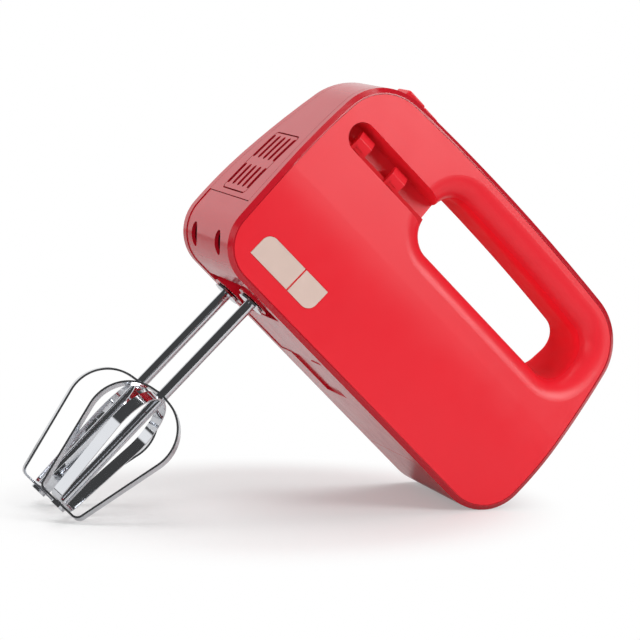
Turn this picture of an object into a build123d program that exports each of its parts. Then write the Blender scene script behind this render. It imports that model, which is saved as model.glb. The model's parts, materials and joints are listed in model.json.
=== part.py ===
from build123d import *
import math
import os

os.makedirs("parts", exist_ok=True)

# A hand mixer lying on its heel and its beater tips. Every piece is made upright in the mixer's own
# frame and tilted at the end. X runs rearward, Y to the right, Z up towards the handle; the origin
# is on the flat underside, midway between the two beater shafts. All sizes are in millimetres.

# Casing
front_x = -39.7
front_bow_z = 42.6
front_foot_x = -37.7
front_head_x = -32.3
rear_x = 159.7
rear_bow_z = 35.6
rear_foot_x = 158.4
rear_head_x = 152.3
top_z = 125.5
top_bow_x = 56.0
shoulder_z = 121.5
nose_radius = 21.6
brow_radius = 29.0
crown_radius = 28.0
heel_radius = 24.3
half_width = 39.5
lean_z = 40.6
lean_angle = 12.0
lean_radius = 150.0
wall = 2.2
edge_bevel = 2.2
edge_ring_width = 2.6
panel_gap = 0.15
rim_depth = 7.5
seam = 0.3
close_seam = 0.04
reach = 60.0

# Finger opening
opening_front = 33.3
opening_rear = 140.3
opening_floor = 73.9
opening_roof = 105.4
opening_roof_rear = 102.9
opening_corner = 12.0
lip_radius = 11.5

# Beater storage grooves
groove_z = 90.1
groove_width = 15.6
groove_front = -27.0
groove_depth = 12.5
groove_run = 80.0
ledge_width = 4.2
ledge_low = 5.2
ledge_high = 6.8
tongue_middle = -3.5
tongue_pitch = 24.0
tongue_length = 8.6
tongue_reach = 12.4
tongue_low = 5.8
tongue_high = 7.0
tongue_ridge = 8.0
tongue_ridge_high = 9.8
tongue_tip_high = 7.6
tongue_round = 0.6
tongue_rib_width = 0.8
tongue_rib_length = 4.6
tongue_rib_pitch = 1.9
tongue_rib_rise = 0.5

# Label plates
label_front = -23.8
label_rear = 17.5
label_low = 12.0
label_high = 25.6
label_split = 1.8
label_thickness = 0.6
label_gap = 0.9
label_recess = 0.4
label_corner = 5.0

# Seams of the middle band
nose_seam_z = 29.5
bezel_front_x = -17.0
bezel_rear_x = 26.0
belly_front_x = 43.0
belly_rear_x = 112.0
heel_seam_z = 63.0
inlay_inset = 0.4

# Vents
vent_low = 32.2
vent_high = 70.7
vent_half_width = 17.8
vent_corner = 3.0
vent_gap = 0.8
slot_pitch = 7.8
slot_width = 3.7
slot_count = 5
lower_slot_z = 42.2
lower_slot_length = 13.3
upper_slot_z = 60.9
upper_slot_length = 15.2
nose_hole_width = 9.0
nose_hole_length = 12.0

# Socket bay and belly
bay_front = -10.6
bay_rear = 13.6
bay_depth = 6.0
socket_hole_radius = 6.2
socket_boss_radius = 8.6
socket_boss_drop = 0.8
panel_front = 43.0
panel_rear = 70.0
panel_half_width = 15.0
panel_depth = 1.0
rib_width = 4.0
rib_half_length = 20.0

# Drive train
shaft_spacing = 39.0
beater_y = shaft_spacing / 2
worm_z = 30.0
wheel_teeth = 30
worm_pitch = math.pi
wheel_root = 13.8
wheel_tip = 15.9
wheel_pitch_radius = 15.0
wheel_height = 10.0
tooth_root_width = 1.9
tooth_tip_width = 0.6
worm_root = 3.4
worm_tip = 5.4
worm_pitch_radius = 4.5
worm_half_length = 10.0
thread_root_width = 1.9
thread_tip_width = 0.6
motor_shaft_radius = 3.0
motor_shaft_front = -22.0
motor_shaft_rear = 121.0
running_gap = 0.05

# Gearbox
box_front = -22.0
box_rear = 24.0
box_half_width = 33.0
box_wall = 4.0
box_low = bay_depth + wall
box_high = 46.0
bush_radius = 8.0
shaft_bush_radius = 6.0
shaft_bush_length = 6.0
spindle_radius = 5.5
spindle_bore = 2.9
spindle_low = 6.5
spindle_high = 46.2
key_slot_width = 2.6
key_slot_high = 11.5

# Beaters
beater_shaft_radius = 2.8
beater_shaft_high = 38.0
beater_shaft_bevel = 0.6
lug_span = 10.4
lug_width = 2.2
lug_low = 7.0
lug_high = 11.0
collar_radius = 7.0
collar_z = -2.5
collar_thickness = 1.0
loop_top = -62.0
loop_bottom = -133.0
loop_slope = 0.15
loop_taper = 0.239
loop_foot_radius = 12.62
loop_shoulder_radius = 21.0
loop_foot_corner = 4.0
strip_width = 5.4
strip_thickness = 1.0
inner_top_drop = 1.7
inner_bottom_rise = 1.1
spigot_radius = 2.0
hub_radius = 4.0
hub_thickness = 1.4
right_blade_angle = -8.0
left_blade_angle = -45.0 - right_blade_angle

# Eject mechanism
pin_gap = 0.2
pin_head_radius = 4.5
pin_head_low = 52.7
pin_head_high = 54.7
plate_low = 55.0
plate_high = 57.5
plate_front = -11.0
plate_rear = 5.0
plate_half_width = 24.0
plate_corner = 4.0
rod_x = -6.8
rod_radius = 2.5
flange_radius = 6.0
flange_low = 86.0
flange_high = 88.0
guide_low = 70.0
guide_high = 74.0
guide_half_length = 5.0
spring_radius = 4.5
spring_wire = 0.45
spring_turns = 6
button_front = -12.7
button_rear = -1.0
button_half_width = 8.5
button_low = 117.0
button_high = 127.3
button_round = 1.6
control_gap = 0.3

# Speed slider and switch
knob_front = -0.5
knob_rear = 9.6
knob_half_width = 6.0
knob_low = 125.2
knob_high = 127.4
stem_front = 1.3
stem_rear = 5.3
stem_half_width = 2.0
stem_low = 112.0
slider_travel = 15.0
switch_front = 0.0
switch_rear = 30.0
switch_half_width = 8.0
switch_low = 104.0
switch_slot_low = 111.0
switch_slot_half_width = 2.4

# Motor
core_front = 66.0
core_rear = 92.0
core_half_width = 25.0
core_half_height = 22.0
core_bore = 13.6
armature_radius = 13.0
armature_slots = 12
armature_slot_width = 1.6
armature_slot_depth = 3.0
coil_y = 18.5
coil_width = 5.0
coil_front = 58.0
coil_rear = 100.0
coil_half_height = 16.0
coil_bar = 6.0
coil_end = 7.5
coil_gap = 0.2
commutator_front = 100.0
commutator_rear = 110.0
commutator_radius = 8.0
fan_front = 40.0
fan_rear = 48.0
fan_radius = 17.0
fan_disc = 1.6
fan_hub_radius = 6.0
fan_blades = 9
fan_blade_thickness = 1.4
bracket_front = 114.0
bracket_rear = 118.0
bracket_post = 5.0
brush_front = 103.0
brush_size = 5.0
brush_low_y = 8.3
brush_length = 10.7
holder_wall = 1.0
holder_low_y = 11.0
holder_high_y = 20.0
terminal_rear = 132.0
terminal_half_width = 10.0
terminal_low = 36.0
terminal_high = 48.0
terminal_bore = 2.0

# Cord inlet
gland_z = 44.0
gland_radius = 6.0
gland_bore = 3.6
gland_front = 152.0
gland_rear = 159.4
gland_flange_radius = 8.5
gland_flange_front = 154.6
gland_flange_rear = 157.1

# Rounds of working out the lean
lean_steps = 6

# Shell screws: four, driven from the right-hand side
screw_spots = [(-22.0, 106.0), (20.0, 66.0), (140.0, 20.0), (148.0, 56.0)]
boss_radius = 3.5
head_boss_radius = 4.7
head_boss_depth = 8.0
head_bore_radius = 3.2
head_bore_depth = 5.0
head_radius = 2.9
head_height = 2.4
shank_radius = 1.5
shank_bore = 1.6
shank_length = 22.0


def half_width_at(z):
    """Half of the casing's width at height z."""
    return half_width - max(0, z - lean_z) * math.tan(math.radians(lean_angle))


def side_outline(inset):
    """The casing seen from its side, drawn in by inset."""
    front_foot = (front_foot_x + inset, inset)
    front_head = (front_head_x + inset, shoulder_z - inset)
    rear_foot = (rear_foot_x - inset, inset)
    rear_head = (rear_head_x - inset, shoulder_z - inset)
    with BuildSketch(Plane.XZ) as outline:
        with BuildLine():
            Line(front_foot, rear_foot)
            ThreePointArc(rear_foot, (rear_x - inset, rear_bow_z), rear_head)
            ThreePointArc(rear_head, (top_bow_x, top_z - inset), front_head)
            ThreePointArc(front_head, (front_x + inset, front_bow_z), front_foot)
        make_face()
        fillet(outline.vertices().sort_by_distance(front_foot)[0], nose_radius - inset)
        fillet(outline.vertices().sort_by_distance(front_head)[0], brow_radius - inset)
        fillet(outline.vertices().sort_by_distance(rear_head)[0], crown_radius - inset)
        fillet(outline.vertices().sort_by_distance(rear_foot)[0], heel_radius - inset)
    return outline.sketch


def front_outline(inset):
    """The casing seen from the front: upright flanks that lean in towards the handle."""
    turn_z = lean_z - inset * math.tan(math.radians(lean_angle / 2))
    lean_inset = inset / math.cos(math.radians(lean_angle))
    with BuildSketch(Plane.YZ) as outline:
        with BuildLine():
            Polyline(
                (0, -reach),
                (half_width - inset, -reach),
                (half_width - inset, turn_z),
                (half_width_at(top_z + reach) - lean_inset, top_z + reach),
                (0, top_z + reach),
                close=True,
            )
        make_face()
        turn = outline.vertices().filter_by_position(Axis.Y, turn_z - 1, turn_z + 1)
        fillet(turn, lean_radius - inset)
        mirror(about=Plane.YZ)
    return outline.sketch


def opening_outline(grow):
    """The finger opening seen from the side, drawn out by grow."""
    front = opening_front - grow
    rear = opening_rear + grow
    low = opening_floor - grow
    high = opening_roof + grow
    with BuildSketch(Plane.XZ) as outline:
        with BuildLine():
            Polyline((front, high), (front, low), (rear, low), (rear, opening_roof_rear + grow))
            ThreePointArc((rear, opening_roof_rear + grow), ((front + rear) / 2, high), (front, high))
        make_face()
        fillet(outline.vertices(), opening_corner + grow)
    return outline.sketch


def envelope(inset):
    """The whole casing as one solid form, drawn in by inset, with its finger opening."""
    with BuildPart() as form:
        extrude(side_outline(inset), amount=reach, both=True)
        extrude(front_outline(inset), amount=4 * reach, both=True, mode=Mode.INTERSECT)
        if not inset:
            upright = [edge for edge in form.edges() if edge.bounding_box().size.Z > 0.1]
            low = form.edges().filter_by(Axis.X).filter_by_position(Axis.Z, -0.1, 0.1)
            chamfer(upright + list(low), edge_bevel)
        extrude(opening_outline(inset), amount=reach, both=True, mode=Mode.SUBTRACT)
        lips = [edge for edge in form.edges() if is_lip(edge.bounding_box())]
        fillet(lips, lip_radius - inset)
    return form.part


def is_lip(box):
    """True for an edge where the finger opening meets a flank."""
    inside = opening_front - wall < box.min.X + 0.1 and box.max.X < opening_rear + wall + 0.1
    return inside and abs(box.center().Y) > edge_bevel and box.center().Z > opening_floor - wall - 0.1


# The hollow casing, before it is divided
outer_form = envelope(0)
inner_form = envelope(wall)
with BuildPart() as casing:
    add(outer_form)
    add(inner_form, mode=Mode.SUBTRACT)

with BuildPart() as band:
    add(casing.part)
    extrude(front_outline(rim_depth + seam), amount=4 * reach, both=True, mode=Mode.INTERSECT)

with BuildPart() as ring:
    add(band.part)
    extrude(side_outline(rim_depth), amount=reach, both=True, mode=Mode.SUBTRACT)

# One flank with its storage groove, tongues and the shallow seat of its label plate
flank = Plane(
    origin=(0, -half_width_at(groove_z), groove_z),
    x_dir=(1, 0, 0),
    z_dir=(0, -math.cos(math.radians(lean_angle)), math.sin(math.radians(lean_angle))),
)
groove_floor = flank.offset(-groove_depth)
groove_middle = groove_front + groove_width / 2 + groove_run / 2
groove_low = -groove_width / 2


def groove_room(grow):
    """The room that the groove takes up, drawn out by grow all round and underneath."""
    with BuildPart() as room:
        with BuildSketch(flank):
            with Locations((groove_middle, 0)):
                SlotCenterToCenter(groove_run, groove_width + 2 * grow)
        extrude(amount=-groove_depth - grow)
    return room.part


with BuildPart() as trough:
    add(groove_room(wall))
    with Locations((opening_front + wall - reach, 0, groove_z)):
        Box(2 * reach, 2 * reach, 2 * reach, mode=Mode.INTERSECT)
    add(outer_form, mode=Mode.INTERSECT)

# A sloping ledge runs along the groove's lower side. Its two tongues hold a stored beater's rod down.
across = Plane(
    origin=groove_floor.from_local_coords((tongue_middle, groove_low, 0)),
    x_dir=flank.y_dir,
    z_dir=flank.x_dir,
)
with BuildPart() as ledge:
    with BuildSketch(across):
        with BuildLine():
            Polyline(
                (-wall / 2, -wall / 2),
                (ledge_width, -wall / 2),
                (ledge_width, ledge_high),
                (0, ledge_low),
                (-wall / 2, ledge_low),
                close=True,
            )
        make_face()
    extrude(amount=2 * reach, both=True)
    add(groove_room(wall / 2), mode=Mode.INTERSECT)
    with Locations((opening_front + wall - reach, 0, groove_z)):
        Box(2 * reach, 2 * reach, 2 * reach, mode=Mode.INTERSECT)
    add(outer_form, mode=Mode.INTERSECT)

tongue_slope = math.atan2(tongue_ridge_high - tongue_high, tongue_ridge)
with BuildPart() as tongues:
    for way in (-1, 1):
        with BuildSketch(across.offset(way * tongue_pitch / 2)):
            with BuildLine():
                Polyline(
                    (-wall / 2, tongue_low),
                    (tongue_reach, tongue_low),
                    (tongue_reach, tongue_tip_high),
                    (tongue_ridge, tongue_ridge_high),
                    (0, tongue_high),
                    (-wall / 2, tongue_high),
                    close=True,
                )
            make_face()
        extrude(amount=tongue_length / 2, both=True)
    outward = Axis(flank.origin, flank.z_dir)
    fillet(tongues.edges().filter_by(Axis.X).group_by(outward)[-1], tongue_round)
    slope_top = Plane(
        origin=across.from_local_coords((ledge_width, tongue_high, 0)),
        x_dir=flank.x_dir,
        z_dir=flank.z_dir * math.cos(tongue_slope) - flank.y_dir * math.sin(tongue_slope),
    )
    with BuildSketch(slope_top):
        with GridLocations(tongue_pitch, tongue_rib_pitch, 2, 2):
            Rectangle(tongue_rib_length, tongue_rib_width)
    extrude(amount=ledge_width * math.sin(tongue_slope) + tongue_rib_rise)

with BuildPart() as label_seat:
    with BuildSketch(Plane.XZ.offset(half_width)):
        with Locations(((label_front + label_rear) / 2, (label_low + label_high) / 2)):
            Rectangle(label_rear - label_front, label_high - label_low)
    extrude(amount=-label_recess)
    upright = label_seat.edges().filter_by(Axis.Y).sort_by(Axis.X)
    rounded = [upright[:2].sort_by(Axis.Z)[-1], upright[-2:].sort_by(Axis.Z)[0]]
    fillet(rounded, label_corner)

with BuildPart() as left_flank:
    add(casing.part)
    extrude(front_outline(rim_depth), amount=4 * reach, both=True, mode=Mode.SUBTRACT)
    with Locations((0, -2 * reach, top_z / 2)):
        Box(8 * reach, 4 * reach, 8 * reach, mode=Mode.INTERSECT)
    add(trough.part)
    add(groove_room(0), mode=Mode.SUBTRACT)
    add(ledge.part)
    add(tongues.part)
    add(label_seat.part, mode=Mode.SUBTRACT)

# A glossy ring forms the bevelled edge round each flank; the satin shell is the panel inside it
with BuildPart() as left_edge_ring:
    add(left_flank.part)
    extrude(side_outline(edge_ring_width), amount=reach, both=True, mode=Mode.SUBTRACT)
left_edge_ring.part.label = "left_edge_ring"

with BuildPart() as right_edge_ring:
    mirror(left_edge_ring.part, about=Plane.XZ)
right_edge_ring.part.label = "right_edge_ring"

with BuildPart() as left_panel:
    add(left_flank.part)
    extrude(side_outline(edge_ring_width + panel_gap), amount=reach, both=True, mode=Mode.INTERSECT)

with BuildPart() as handle_liner:
    add(casing.part)
    extrude(front_outline(rim_depth + close_seam), amount=4 * reach, both=True, mode=Mode.INTERSECT)
    extrude(side_outline(rim_depth), amount=reach, both=True, mode=Mode.INTERSECT)
    add(groove_room(wall + close_seam), mode=Mode.SUBTRACT)
    add(mirror(groove_room(wall + close_seam), about=Plane.XZ), mode=Mode.SUBTRACT)
handle_liner.part.label = "handle_liner"

# The two shells: the left one carries the screw pillars, the right one the screw heads
with BuildPart() as pillars:
    for spot_x, spot_z in screw_spots:
        with BuildSketch(Plane.XZ.offset(-half_width_at(spot_z) + head_boss_depth + seam)):
            with Locations((spot_x, spot_z)):
                Circle(boss_radius)
        extrude(amount=2 * reach)
    add(outer_form, mode=Mode.INTERSECT)

with BuildPart() as left_shell:
    add(left_panel.part)
    add(pillars.part)
    for spot_x, spot_z in screw_spots:
        with BuildSketch(Plane.XZ.offset(-half_width_at(spot_z) + head_boss_depth)):
            with Locations((spot_x, spot_z)):
                Circle(shank_bore)
        extrude(amount=shank_length, mode=Mode.SUBTRACT)
left_shell.part.label = "left_shell"

with BuildPart() as head_bosses:
    for spot_x, spot_z in screw_spots:
        with BuildSketch(Plane.XZ.offset(-half_width_at(spot_z) + head_boss_depth)):
            with Locations((spot_x, spot_z)):
                Circle(head_boss_radius)
        extrude(amount=-reach)
    add(outer_form, mode=Mode.INTERSECT)

with BuildPart() as right_shell:
    mirror(left_panel.part, about=Plane.XZ)
    add(head_bosses.part)
    for spot_x, spot_z in screw_spots:
        with BuildSketch(Plane.XZ.offset(-half_width_at(spot_z) + head_bore_depth)):
            with Locations((spot_x, spot_z)):
                Circle(head_bore_radius)
        extrude(amount=-reach, mode=Mode.SUBTRACT)
        with BuildSketch(Plane.XZ.offset(-half_width_at(spot_z) + reach / 2)):
            with Locations((spot_x, spot_z)):
                Circle(shank_bore)
        extrude(amount=-reach, mode=Mode.SUBTRACT)
right_shell.part.label = "right_shell"

with BuildPart() as shell_screws:
    for spot_x, spot_z in screw_spots:
        head_seat = Plane.XZ.offset(-half_width_at(spot_z) + head_bore_depth)
        with BuildSketch(head_seat):
            with Locations((spot_x, spot_z)):
                Circle(head_radius)
        extrude(amount=-head_height)
        with BuildSketch(head_seat):
            with Locations((spot_x, spot_z)):
                Circle(shank_radius)
        extrude(amount=shank_length)
shell_screws.part.label = "shell_screws"

# The bare label plates, each in two pieces with a narrow gap between them
with BuildPart() as left_label_plate:
    with BuildSketch(Plane.XZ.offset(half_width - label_recess)):
        with Locations(((label_front + label_rear) / 2, (label_low + label_high) / 2)):
            Rectangle(label_rear - label_front - seam, label_high - label_low - seam)
    extrude(amount=label_thickness)
    upright = left_label_plate.edges().filter_by(Axis.Y).sort_by(Axis.X)
    rounded = [upright[:2].sort_by(Axis.Z)[-1], upright[-2:].sort_by(Axis.Z)[0]]
    fillet(rounded, label_corner)
    with BuildSketch(Plane.XZ.offset(half_width - label_recess)):
        with Locations((label_split, (label_low + label_high) / 2)):
            Rectangle(label_gap, label_high)
    extrude(amount=label_thickness, mode=Mode.SUBTRACT)
left_label_plate.part.label = "left_label_plate"

with BuildPart() as right_label_plate:
    mirror(left_label_plate.part, about=Plane.XZ)
right_label_plate.part.label = "right_label_plate"


def zone(x_low, x_high, z_low, z_high):
    """A block across the whole width, from x_low to x_high and z_low to z_high."""
    with BuildPart() as block:
        with Locations(((x_low + x_high) / 2, 0, (z_low + z_high) / 2)):
            Box(x_high - x_low, 4 * reach, z_high - z_low)
    return block.part


half_seam = seam / 2
far_front = front_x - reach
far_rear = rear_x + reach
far_low = -reach
far_high = top_z + reach

# The middle band, divided into its covers
with BuildPart() as front_cover:
    add(ring.part)
    front_zone = zone(far_front, bezel_front_x - half_seam, nose_seam_z + half_seam, far_high)
    add(front_zone, mode=Mode.INTERSECT)
    with BuildSketch(Plane.YZ.offset(far_front)):
        with Locations((0, (vent_low + vent_high) / 2)):
            RectangleRounded(2 * vent_half_width, vent_high - vent_low, vent_corner)
    extrude(amount=reach + front_head_x - front_x + rim_depth, mode=Mode.SUBTRACT)
front_cover.part.label = "front_cover"

with BuildPart() as vent_grille:
    add(ring.part)
    with BuildSketch(Plane.YZ.offset(far_front)):
        with Locations((0, (vent_low + vent_high) / 2)):
            RectangleRounded(
                2 * (vent_half_width - vent_gap),
                vent_high - vent_low - 2 * vent_gap,
                vent_corner - vent_gap,
            )
    extrude(amount=reach + front_head_x - front_x + rim_depth, mode=Mode.INTERSECT)
    with BuildSketch(Plane.YZ.offset(far_front)):
        with Locations((0, lower_slot_z)):
            with GridLocations(slot_pitch, 1, slot_count, 1):
                SlotOverall(lower_slot_length, slot_width, rotation=90)
        with Locations((0, upper_slot_z)):
            with GridLocations(slot_pitch, 1, slot_count, 1):
                SlotOverall(upper_slot_length, slot_width, rotation=90)
    extrude(amount=2 * reach, mode=Mode.SUBTRACT)
vent_grille.part.label = "vent_grille"

nose_reach = nose_radius * math.sqrt(0.5)
nose_face = Plane(
    origin=(front_x + nose_radius - nose_reach, 0, nose_radius - nose_reach),
    x_dir=(0, 1, 0),
    z_dir=(-1, 0, -1),
)
bay_middle = (bay_front + bay_rear) / 2
bay_length = bay_rear - bay_front
band_half_width = half_width - rim_depth - seam
with BuildPart() as nose_cover:
    add(ring.part)
    extrude(side_outline(inlay_inset), amount=reach, both=True, mode=Mode.INTERSECT)
    nose_zone = zone(far_front, belly_front_x - half_seam, far_low, nose_seam_z - half_seam)
    add(nose_zone, mode=Mode.INTERSECT)
    with Locations((bay_middle, 0, inlay_inset)):
        Box(
            bay_length + 2 * wall,
            2 * band_half_width,
            bay_depth + wall - inlay_inset,
            align=(Align.CENTER, Align.CENTER, Align.MIN),
        )
    with Locations((bay_middle, 0, bay_depth)):
        Box(
            bay_length,
            2 * (band_half_width - wall),
            2 * bay_depth,
            align=(Align.CENTER, Align.CENTER, Align.MAX),
            mode=Mode.SUBTRACT,
        )
    with BuildSketch(Plane.XY.offset(-socket_boss_drop)):
        with Locations((0, beater_y), (0, -beater_y)):
            Circle(socket_boss_radius)
    extrude(amount=bay_depth + socket_boss_drop)
    with BuildSketch(Plane.XY.offset(-socket_boss_drop)):
        with Locations((0, beater_y), (0, -beater_y)):
            Circle(socket_hole_radius)
    extrude(amount=3 * bay_depth, mode=Mode.SUBTRACT)
    with BuildSketch(nose_face):
        with Locations((beater_y, 0), (-beater_y, 0)):
            Ellipse(nose_hole_width / 2, nose_hole_length / 2)
    extrude(amount=rim_depth, both=True, mode=Mode.SUBTRACT)
nose_cover.part.label = "nose_cover"

rib_high = worm_z - core_half_height
with BuildPart() as belly_cover:
    add(ring.part)
    belly_zone = zone(belly_front_x + half_seam, belly_rear_x - half_seam, far_low, nose_seam_z)
    add(belly_zone, mode=Mode.INTERSECT)
    with Locations(((panel_front + panel_rear) / 2, 0, 0)):
        Box(panel_rear - panel_front, 2 * panel_half_width, 2 * panel_depth, mode=Mode.SUBTRACT)
    with Locations((core_front + rib_width, 0, wall), (core_rear - rib_width, 0, wall)):
        Box(
            rib_width,
            2 * rib_half_length,
            rib_high - wall,
            align=(Align.CENTER, Align.CENTER, Align.MIN),
        )
belly_cover.part.label = "belly_cover"

with BuildPart() as heel_cover:
    add(ring.part)
    heel_zone = zone(belly_rear_x + half_seam, far_rear, far_low, heel_seam_z - half_seam)
    add(heel_zone, mode=Mode.INTERSECT)
    with BuildSketch(Plane.YZ.offset(opening_rear)):
        with Locations((0, gland_z)):
            Circle(gland_radius)
    extrude(amount=reach, mode=Mode.SUBTRACT)
heel_cover.part.label = "heel_cover"

with BuildPart() as handle_cover:
    add(ring.part)
    handle_front = zone(far_front, bezel_rear_x + half_seam, far_low, far_high)
    add(handle_front, mode=Mode.SUBTRACT)
    handle_under = zone(far_front, far_rear, far_low, heel_seam_z + half_seam)
    add(handle_under, mode=Mode.SUBTRACT)
handle_cover.part.label = "handle_cover"

with BuildPart() as top_bezel:
    add(ring.part)
    bezel_zone = zone(bezel_front_x + half_seam, bezel_rear_x - half_seam, opening_roof, far_high)
    add(bezel_zone, mode=Mode.INTERSECT)
    with BuildSketch(Plane.XY.offset(opening_roof)):
        with Locations(((button_front + button_rear) / 2, 0)):
            RectangleRounded(
                button_rear - button_front + 2 * control_gap,
                2 * (button_half_width + control_gap),
                button_round + control_gap,
            )
        with Locations(((stem_front + stem_rear + slider_travel) / 2, 0)):
            Rectangle(
                stem_rear - stem_front + slider_travel + 2 * control_gap,
                2 * (stem_half_width + control_gap),
            )
    extrude(amount=reach, mode=Mode.SUBTRACT)
top_bezel.part.label = "top_bezel"

# Eject button, plate with rod, guide and return spring
with BuildPart() as eject_button:
    with BuildSketch(Plane.XY.offset(button_low)):
        with Locations(((button_front + button_rear) / 2, 0)):
            RectangleRounded(button_rear - button_front, 2 * button_half_width, button_round)
    extrude(amount=button_high - button_low)
    fillet(eject_button.faces().sort_by(Axis.Z)[-1].edges(), button_round / 2)
eject_button.part.label = "eject_button"

with BuildPart() as eject_plate:
    with BuildSketch(Plane.XY.offset(plate_low)):
        with Locations(((plate_front + plate_rear) / 2, 0)):
            RectangleRounded(plate_rear - plate_front, 2 * plate_half_width, plate_corner)
    extrude(amount=plate_high - plate_low)
    with BuildSketch(Plane.XY.offset(plate_high)):
        with Locations((rod_x, 0)):
            Circle(rod_radius)
    extrude(amount=button_low - plate_high)
    with BuildSketch(Plane.XY.offset(flange_low)):
        with Locations((rod_x, 0)):
            Circle(flange_radius)
    extrude(amount=flange_high - flange_low)
eject_plate.part.label = "eject_plate"

with BuildPart() as eject_guide:
    add(inner_form)
    guide_zone = zone(rod_x - guide_half_length, rod_x + guide_half_length, guide_low, guide_high)
    add(guide_zone, mode=Mode.INTERSECT)
    with BuildSketch(Plane.XY.offset(guide_low)):
        with Locations((rod_x, 0)):
            Circle(rod_radius + 2 * running_gap)
    extrude(amount=guide_high - guide_low, mode=Mode.SUBTRACT)
eject_guide.part.label = "eject_guide"

spring_length = flange_low - guide_high - 2 * spring_wire
with BuildPart() as eject_spring:
    with BuildLine():
        coil = Helix(
            pitch=spring_length / spring_turns,
            height=spring_length,
            radius=spring_radius,
            center=(rod_x, 0, guide_high + spring_wire),
        )
    with BuildSketch(Plane(origin=coil @ 0, z_dir=coil % 0)):
        Circle(spring_wire)
    sweep(is_frenet=True)
eject_spring.part.label = "eject_spring"

# Speed slider and the switch under it
with BuildPart() as speed_slider:
    with BuildSketch(Plane.XY.offset(knob_low)):
        with Locations(((knob_front + knob_rear) / 2, 0)):
            RectangleRounded(knob_rear - knob_front, 2 * knob_half_width, button_round)
    extrude(amount=knob_high - knob_low)
    fillet(speed_slider.faces().sort_by(Axis.Z)[-1].edges(), button_round / 2)
    with BuildSketch(Plane.XY.offset(stem_low)):
        with Locations(((stem_front + stem_rear) / 2, 0)):
            Rectangle(stem_rear - stem_front, 2 * stem_half_width)
    extrude(amount=knob_low - stem_low)
speed_slider.part.label = "speed_slider"

with BuildPart() as switch_body:
    add(inner_form)
    add(zone(switch_front, switch_rear, switch_low, far_high), mode=Mode.INTERSECT)
    with Locations(((switch_front + switch_rear) / 2, 0, top_z)):
        Box(2 * reach, 2 * switch_half_width, 2 * reach, mode=Mode.INTERSECT)
    with BuildSketch(Plane.XY.offset(switch_slot_low)):
        with Locations(((stem_front + stem_rear + slider_travel) / 2, 0)):
            Rectangle(
                stem_rear - stem_front + slider_travel + 2 * control_gap,
                2 * switch_slot_half_width,
            )
    extrude(amount=reach, mode=Mode.SUBTRACT)
switch_body.part.label = "switch_body"

# Gearbox frame with its bushes
with BuildPart() as gearbox_frame:
    with BuildSketch(Plane.XZ):
        with Locations(((box_front + box_rear) / 2, (box_low + box_high) / 2)):
            Rectangle(box_rear - box_front, box_high - box_low)
            Rectangle(
                box_rear - box_front - 2 * box_wall,
                box_high - box_low - 2 * box_wall,
                mode=Mode.SUBTRACT,
            )
    extrude(amount=box_half_width, both=True)
    with BuildSketch(Plane.XY):
        with Locations((0, beater_y), (0, -beater_y)):
            Circle(bush_radius)
    extrude(amount=2 * box_high, mode=Mode.SUBTRACT)
    with BuildSketch(Plane.YZ.offset(box_front)):
        with Locations((0, worm_z)):
            Circle(shaft_bush_radius)
    extrude(amount=box_rear - box_front, mode=Mode.SUBTRACT)
gearbox_frame.part.label = "gearbox_frame"


def shaft_bush(middle_x):
    """A sleeve round the motor shaft, centred at middle_x."""
    with BuildPart() as bush:
        with BuildSketch(Plane.YZ.offset(middle_x)):
            with Locations((0, worm_z)):
                Circle(shaft_bush_radius)
                Circle(motor_shaft_radius + running_gap, mode=Mode.SUBTRACT)
        extrude(amount=shaft_bush_length / 2, both=True)
    return bush.part


def spindle_bush(side, low_z):
    """A sleeve round one spindle, as thick as the gearbox plate that holds it."""
    with BuildPart() as bush:
        with BuildSketch(Plane.XY.offset(low_z)):
            with Locations((0, side * beater_y)):
                Circle(bush_radius)
                Circle(spindle_radius + running_gap, mode=Mode.SUBTRACT)
        extrude(amount=box_wall)
    return bush.part


front_shaft_bush = shaft_bush(box_front + box_wall / 2)
front_shaft_bush.label = "front_shaft_bush"
middle_shaft_bush = shaft_bush(box_rear - box_wall / 2)
middle_shaft_bush.label = "middle_shaft_bush"
rear_shaft_bush = shaft_bush((bracket_front + bracket_rear) / 2)
rear_shaft_bush.label = "rear_shaft_bush"
left_lower_bush = spindle_bush(-1, box_low)
left_lower_bush.label = "left_lower_bush"
left_upper_bush = spindle_bush(-1, box_high - box_wall)
left_upper_bush.label = "left_upper_bush"
right_lower_bush = spindle_bush(1, box_low)
right_lower_bush.label = "right_lower_bush"
right_upper_bush = spindle_bush(1, box_high - box_wall)
right_upper_bush.label = "right_upper_bush"

# Motor shaft with its one-start worm; the worm is cut standing up and laid along the shaft
with BuildPart() as worm:
    with BuildLine():
        thread_line = Helix(pitch=worm_pitch, height=2 * worm_half_length, radius=worm_root)
    with BuildSketch(Plane(origin=thread_line @ 0, x_dir=(1, 0, 0), z_dir=thread_line % 0)):
        with BuildLine():
            Polyline(
                (-worm_root / 8, -thread_root_width / 2),
                (worm_tip - worm_root, -thread_tip_width / 2),
                (worm_tip - worm_root, thread_tip_width / 2),
                (-worm_root / 8, thread_root_width / 2),
                close=True,
            )
        make_face()
    sweep(is_frenet=True)
    with Locations((0, 0, worm_half_length)):
        Cylinder(worm_root, 2 * worm_half_length + worm_pitch)

turns_to_middle = worm_half_length / worm_pitch
worm_turn = 360.0 * (turns_to_middle - math.floor(turns_to_middle))
worm_seat = Plane(origin=(-worm_half_length, 0, worm_z), x_dir=(0, 1, 0), z_dir=(1, 0, 0))
with BuildPart() as motor_shaft:
    with BuildSketch(Plane.YZ.offset(motor_shaft_front)):
        with Locations((0, worm_z)):
            Circle(motor_shaft_radius)
    extrude(amount=motor_shaft_rear - motor_shaft_front)
    add(worm_seat.location * Rotation(0, 0, -worm_turn) * worm.part)
motor_shaft.part.label = "motor_shaft"


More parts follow.
